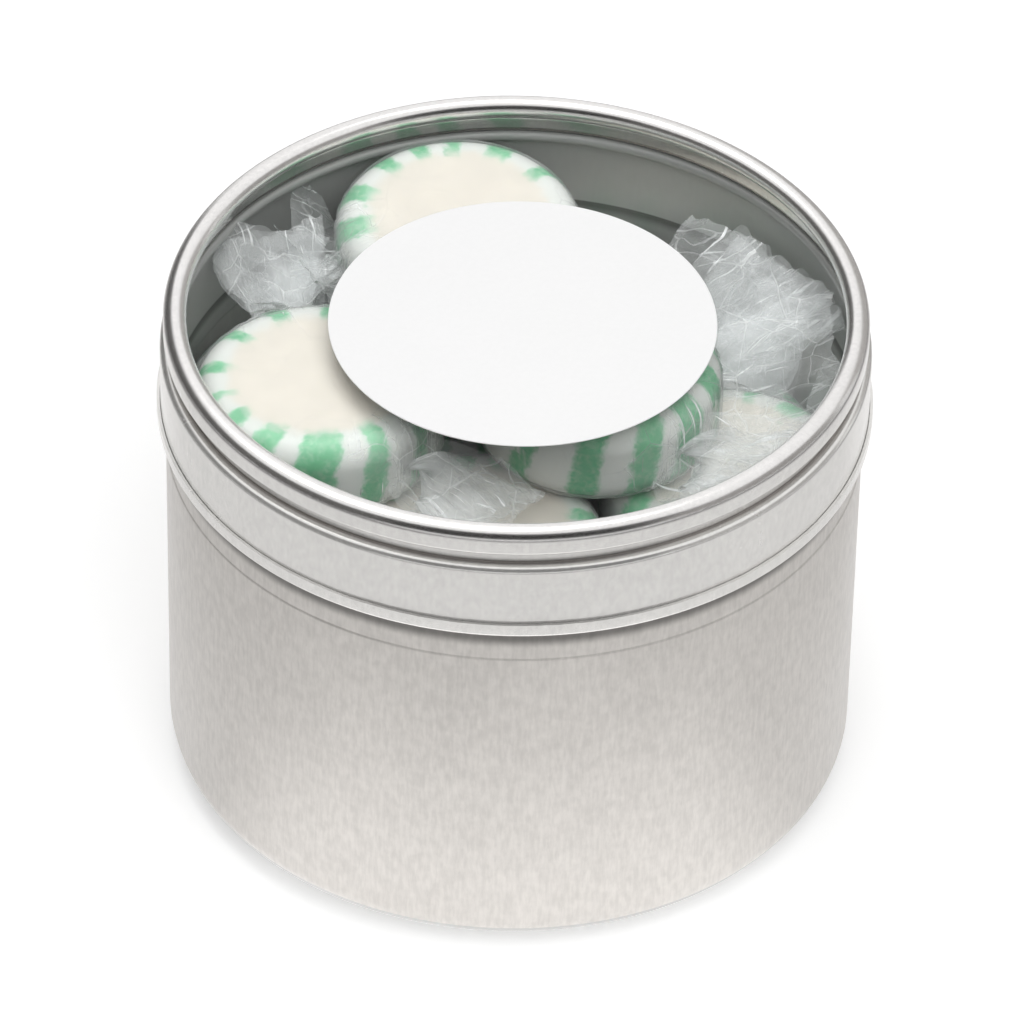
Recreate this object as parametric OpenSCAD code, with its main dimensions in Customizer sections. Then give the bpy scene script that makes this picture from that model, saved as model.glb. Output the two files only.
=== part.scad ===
// Round tin with a clear window lid, filled with twist-wrapped mints.
// The origin is the middle of the face that the tin stands on, and +Z is up.

/* [Tin] */
// Outer diameter of the drawn tin, below its neck
tin_d = 68.3; // [66:0.1:76]
// Thickness of the tin's sheet
tin_wall = 0.3; // [0.2:0.05:0.4]
// Outer radius of the rounded corner at the base
base_round = 3.4; // [2:0.1:4.5]
// How far the panel in the base is pressed up
base_recess = 0.5; // [0.4:0.1:1]
// Diameter of the pressed panel in the base
panel_d = 57; // [40:0.5:58]
// How far the neck is drawn in from the wall
neck_step = 0.1; // [0.05:0.05:0.2]
// Height of the neck, from the line on the wall to the mouth
neck_h = 11.3; // [9:0.1:16]
// Diameter of the curl round the mouth
curl_d = 1.1; // [0.8:0.1:1.4]

/* [Lid] */
// Thickness of the lid's sheet
lid_wall = 0.3; // [0.2:0.05:0.35]
// Gap between the neck and the inside of the lid's skirt
lid_gap = 0.3; // [0.2:0.05:0.6]
// Height of the skirt, from the hem's fold to the shoulder
skirt_h = 8.15; // [6:0.05:9]
// Height of the hem that is folded up outside the skirt
hem_h = 1.45; // [1:0.05:2.5]
// Space left between the hem's two layers
hem_gap = 0.05; // [0.03:0.01:0.1]
// How far the upper band stands in from the skirt
band_inset = 0.35; // [0.2:0.05:0.8]
// Depth of the groove that carries the window, from the band's face
groove_depth = 0.7; // [0.6:0.05:1]
// Height of the groove between the shoulder and the band
groove_h = 1.3; // [1:0.05:2]
// Diameter of the rolled bead round the opening
bead_d = 2; // [1.6:0.1:2.6]
// Width of the rim from the band's face to the opening
rim_w = 2.3; // [2.2:0.1:3.5]
// Radius of the tight bends along the middle of the lid's sheet
bend_r = 0.25; // [0.18:0.01:0.3]
// Radius of the rim's outer bend along the middle of the sheet
rim_round = 0.6; // [0.3:0.05:0.7]
// Radius of the shoulder's bend along the middle of the sheet
shoulder_round = 0.5; // [0.3:0.05:0.5]

/* [Window and label] */
// Thickness of the clear window
window_t = 0.35; // [0.2:0.05:0.6]
// Play between the window's edge and the band
window_play = 0.3; // [0.15:0.05:0.35]
// Diameter of the round paper label
label_d = 37.8; // [20:0.2:50]
// Thickness of the label
label_t = 0.12; // [0.08:0.02:0.3]
// How far the label sits off the middle of the window
label_shift = 0.6; // [0:0.1:3]

/* [Mints] */
// Diameter of a mint
mint_d = 24.4; // [22:0.2:25]
// Thickness of a mint
mint_t = 9; // [8:0.1:11]
// Radius of a mint's rounded edge
mint_round = 2.6; // [1.5:0.1:3.5]
// Thickness of the wrapping film
film_t = 0.12; // [0.08:0.01:0.2]
// Space between a mint and its film
film_gap = 0.05; // [0.03:0.01:0.1]

/* [Wrapper ends] */
// Half the width of the twist where an end leaves the mint
twist_half_w = 1.1; // [0.7:0.1:1.5]
// Half the height of the pleats at the twist
twist_pleat = 0.45; // [0.2:0.05:0.6]
// Half the height of the pleats at the open end
open_pleat = 0.8; // [0.4:0.05:1]
// Thickness of the gathered film of an end
end_t = 0.25; // [0.15:0.05:0.35]
// Length of a folded end in the lower layers
end_len = 8.4; // [5:0.1:9]
// Half the width of a folded end at its open edge
end_half_w = 3.8; // [2:0.1:4.2]
// How far a folded end leans up or down
end_lean = 2.3; // [2:0.1:3]

/* [Hidden] */
$fn = 96;
LAYERS = 5;
PER_LAYER = 4;
PLEATS = 4;
END_STEPS = 3;
ARC_STEP = 15;
seat_gap = 0.1;
hold_gap = 0.05;
lay_gap = 0.15;
side_gap = 0.25;
twist_gap = 0.02;
floor_z = base_recess + tin_wall;

// A wrapped mint, and the layers that it is laid in
wrap_r = mint_d / 2 + film_gap + film_t;
wrap_t = mint_t + 2 * (film_gap + film_t);
layer_pitch = wrap_t + lay_gap;
function layer_mid(k) = floor_z + seat_gap + wrap_t / 2 + k * layer_pitch;
headroom = 0.3;

// Tin
tin_r = tin_d / 2;
neck_r = tin_r - neck_step;
mouth_r = neck_r - curl_d;
tin_h = layer_mid(LAYERS - 1) + wrap_t / 2 + headroom;
panel_slope = 1;
foot_w = 0.3;

// Four mints at the wall: how far their middles are from the axis, from each other where two touch,
// and the play that is left between neighbours
ring_r = tin_r - tin_wall - wrap_r - side_gap;
touch = 2 * wrap_r;
play = ring_r * sqrt(2) - touch;

// Lid, from the shoulder that rests on the mouth
skirt_r = neck_r + lid_gap + lid_wall;
shoulder_z = tin_h + seat_gap + lid_wall;
hem_z = shoulder_z - skirt_h;
hem_r = skirt_r + lid_wall + hem_gap;
band_r = skirt_r - band_inset;
groove_r = band_r - groove_depth;
ledge_z = shoulder_z + groove_h + lid_wall;
window_z = ledge_z;
window_r = band_r - lid_wall - window_play;
bead_z = window_z + window_t + hold_gap + bead_d / 2;
bead_r = band_r - rim_w + bead_d / 2;
lid_top = bead_z + bead_d / 2;
label_z = window_z + window_t;

// Point at distance dp from p and dq from q, to the left of the way from p to q for side 1
function beside(p, q, dp, dq, side) =
    let (d = norm(q - p), u = (q - p) / d, a = (dp * dp - dq * dq + d * d) / (2 * d))
    p + a * u + side * sqrt(dp * dp - a * a) * [-u[1], u[0]];
function polar(r, a) = r * [cos(a), sin(a)];

// Fourth layer: three mints at the wall and a loose one in front, between the left and the right one.
// A loose mint stands off its neighbours by its own shares of the play that a full layer leaves.
left_turn = 166.5;
left_mint = polar(ring_r, left_turn);
right_mint = polar(ring_r, left_turn + 180);
left_share = 0.47163;
right_share = 0.30062;
front_mint = beside(left_mint, right_mint, touch + left_share * play, touch + right_share * play, -1);

// Top layer: one mint at the back, under the curl of the mouth, one at the left and one in the middle
back_turn = 107;
back_mint = polar(mouth_r - wrap_r - side_gap, back_turn);
back_lift = 1.25;
back_tilt = 4;
wall_share = 0.30282;
side_share = 0.57215;
side_mint = beside([0, 0], back_mint, ring_r - wall_share * play, touch + side_share * play, 1);
behind_share = 0.08141;
beside_share = 0.45488;
mid_mint = beside(back_mint, side_mint, touch + behind_share * play, touch + beside_share * play, 1);
mid_turn = -11;

// Mints of the two upper layers, each [layer, middle, angle it is turned to, tilt towards the front]
FOURTH = [
    [3, polar(ring_r, left_turn - 90), left_turn - 90, 0],
    [3, left_mint, left_turn, 0],
    [3, front_mint, 258.5, 0],
    [3, right_mint, left_turn + 180, 0]
];
TOP = [
    [4, back_mint, back_turn, back_tilt],
    [4, side_mint, 195, 0],
    [4, mid_mint, mid_turn, 0]
];

// Room from the film of a mint at c to the tin's wall, in direction a, and what two ends leave of it
function room(c, a) =
    let (s = c * polar(1, a), r = tin_r - tin_wall)
    sqrt(r * r - c * c + s * s) - s - wrap_r;
fan_room = 4;
wide_fan_room = 5.5;

// Ends of the wrappers, each [angle round the mint, out, sideways, up, half width, roll]
folded = [
    [90, end_len, 0, end_lean, end_half_w, 0],
    [-90, end_len, 0, -end_lean, end_half_w, 0]
];
FOURTH_ENDS = [
    folded,
    folded,
    [[80, 7.5, 0, -end_lean, end_half_w, 0], [-90, end_len, 0, -end_lean, end_half_w, 0]],
    [[92, 7, 1.5, 6, 4.4, 0], [-84, 5.5, 0, 4.5, 4, 0]]
];
TOP_ENDS = [
    [[90, 7.5, 3, -3.6, 3.6, 0], [-125, 3.5, 1, -3.4, 2, 0]],
    [[-89.5, 9.4, 0, 3.6, 4.8, 0], [123, 9, 0, -1, 5, 0]],
    [
        [52, min(11.5, room(mid_mint, mid_turn + 52) - fan_room), 0, 1.2, 7, 0],
        [-34, min(8.5, room(mid_mint, mid_turn - 34) - wide_fan_room), 3, 2.5, 7, 0]
    ]
];

// Every mint as [x, y, z of its middle, angle it is turned to, tilt], by its number from 0
function lower(n) =
    let (k = floor(n / PER_LAYER), a = 121.5 - 45 * (k % 2) + 90 * (n % PER_LAYER))
    [ring_r * cos(a), ring_r * sin(a), layer_mid(k), a, 0];
function laid(m) =
    [m[1][0], m[1][1], layer_mid(m[0]) + (m[3] == 0 ? 0 : back_lift), m[2], m[3]];
function place(n) =
    n < 12 ? lower(n) : n < 16 ? laid(FOURTH[n - 12]) : laid(TOP[n - 16]);
function ends(n) =
    n < 12 ? folded : n < 16 ? FOURTH_ENDS[n - 12] : TOP_ENDS[n - 16];

// Points of an arc round c, both ends included
function arc(c, r, a0, a1) =
    let (n = max(2, ceil(abs(a1 - a0) / ARC_STEP)))
    [for (i = [0:n]) c + r * [cos(a0 + (a1 - a0) * i / n), sin(a0 + (a1 - a0) * i / n)]];

// Points that round the corner b of the path a, b, c with radius r
function bend(a, b, c, r) =
    let (u = (a - b) / norm(a - b), v = (c - b) / norm(c - b),
         half = acos(u * v) / 2, m = (u + v) / norm(u + v),
         o = b + m * r / sin(half), p = b + u * r / tan(half), q = b + v * r / tan(half),
         a0 = atan2(p[1] - o[1], p[0] - o[0]), a1 = atan2(q[1] - o[1], q[0] - o[0]),
         turn = a1 - a0 > 180 ? a1 - a0 - 360 : a1 - a0 < -180 ? a1 - a0 + 360 : a1 - a0)
    arc(o, r, a0, a0 + turn);

// The path through corners [x, y, r], with each inner corner rounded by its own r
function flat(v) = [v[0], v[1]];
function route(c) = [flat(c[0]),
    for (i = [1:len(c) - 2]) each bend(flat(c[i - 1]), flat(c[i]), flat(c[i + 1]), c[i][2]),
    flat(c[len(c) - 1])];

// Unit vector square to the path at point i, halved so that the sheet keeps its thickness
function square_to(p, i) =
    let (a = i == 0 ? p[0] : p[i - 1], b = p[i], c = i == len(p) - 1 ? p[i] : p[i + 1],
         u = i == 0 ? (c - b) / norm(c - b) : (b - a) / norm(b - a),
         v = i == len(p) - 1 ? u : (c - b) / norm(c - b),
         m = (u + v) / norm(u + v))
    [-m[1], m[0]] / (m * u);

// A sheet of thickness t along the path p
module sheet(p, t) {
    polygon([
        for (i = [0:len(p) - 1]) p[i] + square_to(p, i) * t / 2,
        for (i = [len(p) - 1:-1:0]) p[i] - square_to(p, i) * t / 2
    ]);
}

// Drawn tin: pressed base panel, rounded corner, straight wall, neck and a curl turned inwards
module tin_body() {
    t = tin_wall / 2;
    wall_r = tin_r - t;
    panel_r = panel_d / 2;
    line_z = tin_h - neck_h;
    slope_r = panel_r + panel_slope;
    corner_r = min(base_round - t, wall_r - slope_r - foot_w);
    curl_mid = [neck_r - curl_d / 2, tin_h - curl_d / 2];
    path = concat(
        route([
            [0, base_recess + t, 0],
            [panel_r, base_recess + t, tin_wall],
            [slope_r, t, tin_wall],
            [wall_r, t, corner_r],
            [wall_r, line_z, tin_wall],
            [neck_r - t, line_z + 2 * neck_step, tin_wall],
            [neck_r - t, tin_h - curl_d, 0]
        ]),
        arc(curl_mid, curl_d / 2 - t, 0, 270)
    );
    color("silver") rotate_extrude() sheet_from_axis(path, tin_wall);
}

// The same sheet, cut square on the axis of the tin
module sheet_from_axis(p, t) {
    intersection() {
        sheet(p, t);
        square([tin_d, tin_h + 1]);
    }
}

// Lid ring: rolled bead, rim, band, window groove, shoulder, skirt and folded hem, all one sheet
module lid_ring() {
    t = lid_wall / 2;
    bead = arc([bead_r, bead_z], bead_d / 2 - t, -60, -270);
    fold_r = (hem_r - skirt_r) / 2;
    rest = route([
        [bead_r, lid_top - t, 0],
        [band_r - t, lid_top - t, rim_round],
        [band_r - t, ledge_z - t, bend_r],
        [groove_r - t, ledge_z - t, bend_r],
        [groove_r - t, shoulder_z - t, bend_r],
        [skirt_r - t, shoulder_z - t, shoulder_round],
        [skirt_r - t, hem_z + t, fold_r * 0.99],
        [hem_r - t, hem_z + t, fold_r * 0.99],
        [hem_r - t, hem_z + hem_h, 0]
    ]);
    color("gainsboro") rotate_extrude() sheet(concat(bead, [for (i = [1:len(rest) - 1]) rest[i]]), lid_wall);
}

// Clear disc that rests on the groove's ledge, under the bead
module window() {
    color([0.8, 0.9, 0.9, 0.4]) translate([0, 0, window_z]) cylinder(r = window_r, h = window_t);
}

// Round paper label on the window
module label() {
    color("white") translate([label_shift, 0, label_z]) cylinder(d = label_d, h = label_t);
}

// Disc with rounded edges, about its own middle
module pill(r, t, round_r) {
    rotate_extrude() {
        translate([0, -t / 2]) square([r - round_r, t]);
        translate([0, -t / 2 + round_r]) square([r, t - 2 * round_r]);
        for (side = [-1, 1]) translate([r - round_r, side * (t / 2 - round_r)]) circle(round_r);
    }
}

// Carries a piece from a mint's own frame to where mint n lies
module at_mint(n) {
    p = place(n);
    translate([p[0], p[1], p[2]]) rotate([p[4], 0, 0]) rotate([0, 0, p[3]]) children();
}

module mint(n) {
    color("honeydew") at_mint(n) pill(mint_d / 2, mint_t, mint_round);
}

// Film round a mint, gathered into a pleated fan at both twists
module wrapper(n) {
    color([0.9, 0.95, 0.95, 0.5]) at_mint(n) {
        difference() {
            pill(wrap_r, wrap_t, mint_round + film_gap + film_t);
            pill(wrap_r - film_t, wrap_t - 2 * film_t, mint_round + film_gap);
        }
        for (e = ends(n)) wrapper_end(e);
    }
}

// One end: a slab of even thickness, zigzag across and widening along a curve
module wrapper_end(e) {
    root = wrap_r + twist_gap;
    out = e[1];
    function along(s) = [root + out * s, s * s * e[2], s * s * e[3]];
    function heading(s) = let (d = along(s + 0.01) - along(s - 0.01)) d / norm(d);
    function spread(s) = twist_half_w + (e[4] - twist_half_w) * s;
    function pleat(s) = twist_pleat + (open_pleat - twist_pleat) * s;
    across = [0, cos(e[5]), sin(e[5])];
    function up(s) = let (v = cross(heading(s), across)) v / norm(v);
    cols = 2 * PLEATS;
    function knot(i, j, side) =
        let (s = i / END_STEPS)
        along(s) + across * spread(s) * (2 * j / cols - 1)
            + up(s) * (pleat(s) * (j % 2 == 0 ? 1 : -1) + side * end_t / 2);
    pts = [for (side = [1, -1]) for (i = [0:END_STEPS]) for (j = [0:cols]) knot(i, j, side)];
    function at(i, j, side) = (side * (END_STEPS + 1) + i) * (cols + 1) + j;
    skins = [for (i = [0:END_STEPS - 1]) for (j = [0:cols - 1]) each [
        [at(i, j, 0), at(i, j + 1, 0), at(i + 1, j, 0)],
        [at(i, j + 1, 0), at(i + 1, j + 1, 0), at(i + 1, j, 0)],
        [at(i, j, 1), at(i + 1, j, 1), at(i, j + 1, 1)],
        [at(i, j + 1, 1), at(i + 1, j, 1), at(i + 1, j + 1, 1)]
    ]];
    sides = [for (i = [0:END_STEPS - 1]) each [
        [at(i, 0, 0), at(i + 1, 0, 0), at(i, 0, 1)],
        [at(i + 1, 0, 0), at(i + 1, 0, 1), at(i, 0, 1)],
        [at(i, cols, 0), at(i, cols, 1), at(i + 1, cols, 0)],
        [at(i + 1, cols, 0), at(i, cols, 1), at(i + 1, cols, 1)]
    ]];
    caps = [for (j = [0:cols - 1]) each [
        [at(0, j, 0), at(0, j, 1), at(0, j + 1, 0)],
        [at(0, j + 1, 0), at(0, j, 1), at(0, j + 1, 1)],
        [at(END_STEPS, j, 0), at(END_STEPS, j + 1, 0), at(END_STEPS, j, 1)],
        [at(END_STEPS, j + 1, 0), at(END_STEPS, j + 1, 1), at(END_STEPS, j, 1)]
    ]];
    rotate([0, 0, e[0]]) polyhedron(pts, concat(skins, sides, caps));
}

tin_body();
lid_ring();
window();
label();
mint(0);  // mint_01
mint(1);  // mint_02
mint(2);  // mint_03
mint(3);  // mint_04
mint(4);  // mint_05
mint(5);  // mint_06
mint(6);  // mint_07
mint(7);  // mint_08
mint(8);  // mint_09
mint(9);  // mint_10
mint(10);  // mint_11
mint(11);  // mint_12
mint(12);  // mint_13
mint(13);  // mint_14
mint(14);  // mint_15
mint(15);  // mint_16
mint(16);  // mint_17
mint(17);  // mint_18
mint(18);  // mint_19
wrapper(0);  // wrapper_01
wrapper(1);  // wrapper_02
wrapper(2);  // wrapper_03
wrapper(3);  // wrapper_04
wrapper(4);  // wrapper_05
wrapper(5);  // wrapper_06
wrapper(6);  // wrapper_07
wrapper(7);  // wrapper_08
wrapper(8);  // wrapper_09
wrapper(9);  // wrapper_10
wrapper(10);  // wrapper_11
wrapper(11);  // wrapper_12
wrapper(12);  // wrapper_13
wrapper(13);  // wrapper_14
wrapper(14);  // wrapper_15
wrapper(15);  // wrapper_16
wrapper(16);  // wrapper_17
wrapper(17);  // wrapper_18
wrapper(18);  // wrapper_19
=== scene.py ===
"""Round slip-lid tin with a clear window, a bare paper label and a fill of twist-wrapped mints.

Sizes are written in millimetres and turned into metres as each mesh is made.
"""

import logging
import math
from dataclasses import dataclass, field
from enum import Enum
from typing import Callable, Sequence

import bmesh
import bpy
from mathutils import Matrix, Vector, noise


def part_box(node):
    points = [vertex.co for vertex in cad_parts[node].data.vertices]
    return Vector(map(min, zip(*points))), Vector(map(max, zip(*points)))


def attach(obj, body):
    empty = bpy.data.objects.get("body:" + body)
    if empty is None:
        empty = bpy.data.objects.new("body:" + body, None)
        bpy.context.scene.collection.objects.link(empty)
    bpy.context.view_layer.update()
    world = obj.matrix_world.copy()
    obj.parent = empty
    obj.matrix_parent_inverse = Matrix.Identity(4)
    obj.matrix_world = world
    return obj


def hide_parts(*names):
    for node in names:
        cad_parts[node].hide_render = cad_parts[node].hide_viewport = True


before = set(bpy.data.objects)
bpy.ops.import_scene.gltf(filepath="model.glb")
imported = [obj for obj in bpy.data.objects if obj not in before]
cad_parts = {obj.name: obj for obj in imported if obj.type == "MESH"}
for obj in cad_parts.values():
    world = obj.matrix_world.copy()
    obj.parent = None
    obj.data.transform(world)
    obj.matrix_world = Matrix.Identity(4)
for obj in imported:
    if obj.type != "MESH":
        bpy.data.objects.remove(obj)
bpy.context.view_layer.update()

MM = 0.001
FULL_TURN = 2.0 * math.pi
LOG = logging.getLogger("window_lid_tin")

Point = tuple[float, float]


class Body(str, Enum):
    """The two bodies that pieces ride on."""

    TIN = "tin"
    LID = "lid"


class Slot(str, Enum):
    """The record's material slots."""

    TIN = "tinplate"
    LID = "lid_tinplate"
    WINDOW = "clear_window"
    LABEL = "label_paper"
    MINT = "mint_candy"
    FILM = "wrapper_film"


# ---------------------------------------------------------------------------
# Profiles and meshes
# ---------------------------------------------------------------------------


def arc(centre: Point, radius: float, start: float, end: float, step: float = 7.5) -> list[Point]:
    """Points of an arc, both ends included.

    Args:
        centre: middle of the arc, in mm.
        radius: radius in mm.
        start: first angle in degrees.
        end: last angle in degrees.
        step: largest angle between two points.

    Returns:
        The points from start to end.
    """
    count = max(2, math.ceil(abs(end - start) / step))
    angles = [math.radians(start + (end - start) * i / count) for i in range(count + 1)]
    return [(centre[0] + radius * math.cos(a), centre[1] + radius * math.sin(a)) for a in angles]


def bend(before: Point, corner: Point, after: Point, radius: float) -> list[Point]:
    """Rounds one corner of a path.

    Args:
        before: the path's point ahead of the corner.
        corner: the corner itself.
        after: the path's point past the corner.
        radius: radius of the bend in mm.

    Returns:
        The points that replace the corner.
    """
    a, b, c = Vector(before), Vector(corner), Vector(after)
    u, v = (a - b).normalized(), (c - b).normalized()
    half = u.angle(v) / 2
    middle = b + (u + v).normalized() * radius / math.sin(half)
    first, last = b + u * radius / math.tan(half), b + v * radius / math.tan(half)
    start = math.degrees(math.atan2(*(first - middle).yx))
    turn = math.degrees(math.atan2(*(last - middle).yx)) - start
    turn += -360 if turn > 180 else 360 if turn < -180 else 0
    return arc(tuple(middle), radius, start, start + turn)


def route(corners: Sequence[tuple[float, float, float]]) -> list[Point]:
    """Turns corners with bend radii into a smooth path.

    Args:
        corners: (out, up, bend radius) of each corner, in mm.

    Returns:
        The path's points.
    """
    path = [corners[0][:2]]
    for before, here, after in zip(corners, corners[1:], corners[2:]):
        path += bend(before[:2], here[:2], after[:2], here[2])
    return path + [corners[-1][:2]]


def sheet_outline(path: Sequence[Point], thickness: float) -> list[Point]:
    """Both faces of a sheet that follows a path.

    Args:
        path: the sheet's middle line in mm.
        thickness: the sheet's thickness in mm.

    Returns:
        The outline, up one face and back along the other.
    """
    points = [Vector(p) for p in path]
    out, back = [], []
    for i, here in enumerate(points):
        u = (here - points[i - 1]).normalized() if i else (points[1] - here).normalized()
        v = (points[i + 1] - here).normalized() if i + 1 < len(points) else u
        middle = (u + v).normalized()
        across = Vector((-middle.y, middle.x)) / max(middle.dot(u), 0.3) * thickness / 2
        out.append(tuple(here + across))
        back.append(tuple(here - across))
    return out + back[::-1]


def spun(outline: Sequence[Point], closed: bool, steps: int, centre: Point = (0.0, 0.0)) -> bmesh.types.BMesh:
    """Spins an outline round the Z axis.

    Args:
        outline: (out, up) points in mm.
        closed: whether the last point joins the first.
        steps: faces round the axis.
        centre: where the axis stands, in mm.

    Returns:
        The spun mesh, in metres.
    """
    mesh = bmesh.new()
    verts = [mesh.verts.new((x * MM, 0.0, z * MM)) for x, z in outline]
    pairs = list(zip(verts, verts[1:])) + ([(verts[-1], verts[0])] if closed else [])
    edges = [mesh.edges.new(pair) for pair in pairs]
    bmesh.ops.spin(mesh, geom=verts + edges, cent=(0, 0, 0), axis=(0, 0, 1), angle=FULL_TURN,
                   steps=steps, use_merge=True)
    bmesh.ops.remove_doubles(mesh, verts=mesh.verts[:], dist=1e-7)
    bmesh.ops.translate(mesh, verts=mesh.verts[:], vec=(centre[0] * MM, centre[1] * MM, 0.0))
    bmesh.ops.recalc_face_normals(mesh, faces=mesh.faces[:])
    return mesh


def shaded(mesh: bmesh.types.BMesh, crease: float = 40.0) -> None:
    """Smooths faces and keeps edges sharper than the crease angle, in degrees."""
    for face in mesh.faces:
        face.smooth = True
    limit = math.radians(crease)
    for edge in mesh.edges:
        edge.smooth = len(edge.link_faces) != 2 or edge.calc_face_angle(0.0) < limit


def piece(name: str, mesh: bmesh.types.BMesh, material: bpy.types.Material, body: Body,
          nodes: Sequence[str]) -> bpy.types.Object:
    """Makes a mesh an object of the tin.

    Args:
        name: the object's name.
        mesh: the finished mesh, which is freed.
        material: the finish it wears.
        body: the body it rides on.
        nodes: the solids that it stands for.

    Returns:
        The new object.
    """
    data = bpy.data.meshes.new(name)
    mesh.to_mesh(data)
    mesh.free()
    data.materials.append(material)
    obj = bpy.data.objects.new(name, data)
    bpy.context.scene.collection.objects.link(obj)
    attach(obj, body.value)
    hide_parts(*nodes)
    LOG.info("%s: %d faces, rides on %s", name, len(data.polygons), body.value)
    return obj


# ---------------------------------------------------------------------------
# Finishes
# ---------------------------------------------------------------------------


class Nodes:
    """A material's or group's node tree, with short ways to add and join nodes."""

    def __init__(self, tree: bpy.types.NodeTree) -> None:
        """Takes the tree that nodes are added to."""
        self.tree = tree

    def add(self, kind: str, inputs: dict[str | int, object] | None = None, **settings: object) -> bpy.types.Node:
        """Adds a node.

        Args:
            kind: the node's type name without its ShaderNode prefix.
            inputs: values or sockets by input name or number.
            settings: the node's own properties.

        Returns:
            The new node.
        """
        node = self.tree.nodes.new("ShaderNode" + kind)
        for key, value in settings.items():
            setattr(node, key, value)
        for key, value in (inputs or {}).items():
            self.feed(node.inputs[key], value)
        return node

    def feed(self, socket: bpy.types.NodeSocket, value: object) -> None:
        """Joins a socket to an input, or sets the input's value."""
        if isinstance(value, bpy.types.NodeSocket):
            self.tree.links.new(value, socket)
        else:
            socket.default_value = value

    def maths(self, operation: str, *values: object, clamp: bool = False) -> bpy.types.NodeSocket:
        """Adds a Math node and returns its output."""
        node = self.add("Math", dict(enumerate(values)), operation=operation, use_clamp=clamp)
        return node.outputs[0]

    def ramp(self, value: object, low: float, high: float, out_low: float = 0.0, out_high: float = 1.0,
             smooth: bool = True) -> bpy.types.NodeSocket:
        """Maps value from low..high to out_low..out_high and returns the result."""
        node = self.add("MapRange", {"Value": value, "From Min": low, "From Max": high, "To Min": out_low,
                                     "To Max": out_high}, interpolation_type="SMOOTHSTEP" if smooth else "LINEAR")
        return node.outputs["Result"]

    def mixed(self, factor: object, first: object, second: object, blend: str = "MIX") -> bpy.types.NodeSocket:
        """Mixes two colours and returns the result."""
        node = self.add("Mix", data_type="RGBA", blend_type=blend)
        self.feed(node.inputs[0], factor)
        self.feed(node.inputs[6], first)
        self.feed(node.inputs[7], second)
        return node.outputs[2]

    def noise(self, vector: object, scale: float, detail: float = 3.0, roughness: float = 0.55,
              kind: str = "FBM") -> bpy.types.NodeSocket:
        """Adds a noise texture and returns its value."""
        node = self.add("TexNoise", {"Vector": vector, "Scale": scale, "Detail": detail, "Roughness": roughness},
                        noise_type=kind)
        return node.outputs[0]


def group_of(name: str, inputs: Sequence[tuple[str, str, object]], outputs: Sequence[tuple[str, str]],
             build: Callable[[Nodes, bpy.types.Node, bpy.types.Node], None]) -> bpy.types.NodeTree:
    """Makes a shader node group once.

    Args:
        name: the group's name.
        inputs: (name, socket type, default) of each input.
        outputs: (name, socket type) of each output.
        build: fills the group, given its nodes, input node and output node.

    Returns:
        The group's tree.
    """
    if name in bpy.data.node_groups:
        return bpy.data.node_groups[name]
    tree = bpy.data.node_groups.new(name, "ShaderNodeTree")
    for label, kind, value in inputs:
        socket = tree.interface.new_socket(label, in_out="INPUT", socket_type=kind)
        if value is not None:
            socket.default_value = value
    for label, kind in outputs:
        tree.interface.new_socket(label, in_out="OUTPUT", socket_type=kind)
    source, sink = tree.nodes.new("NodeGroupInput"), tree.nodes.new("NodeGroupOutput")
    build(Nodes(tree), source, sink)
    return tree


def fresh_material(name: str) -> tuple[bpy.types.Material, Nodes, bpy.types.Node, bpy.types.Node]:
    """Makes an empty node material.

    Args:
        name: the material's name.

    Returns:
        The material, its nodes, its Principled shader and its output node.
    """
    material = bpy.data.materials.new(name)
    material.use_nodes = True
    material.node_tree.nodes.clear()
    nodes = Nodes(material.node_tree)
    shader = nodes.add("BsdfPrincipled")
    output = nodes.add("OutputMaterial")
    nodes.feed(output.inputs["Surface"], shader.outputs[0])
    return material, nodes, shader, output


def fill_round_coordinates(nodes: Nodes, source: bpy.types.Node, sink: bpy.types.Node) -> None:
    """Fills the group that finds the distance out from the axis and the height."""
    parts = nodes.add("SeparateXYZ", {0: source.outputs["Vector"]})
    x, y, z = parts.outputs[0], parts.outputs[1], parts.outputs[2]
    out = nodes.maths("SQRT", nodes.maths("ADD", nodes.maths("MULTIPLY", x, x), nodes.maths("MULTIPLY", y, y)))
    nodes.feed(sink.inputs["Out"], out)
    nodes.feed(sink.inputs["Height"], z)


def round_coordinates() -> bpy.types.NodeTree:
    """The group that finds the distance out from the axis and the height."""
    return group_of("round_coordinates", [("Vector", "NodeSocketVector", None)],
                    [("Out", "NodeSocketFloat"), ("Height", "NodeSocketFloat")],
                    fill_round_coordinates)


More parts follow.
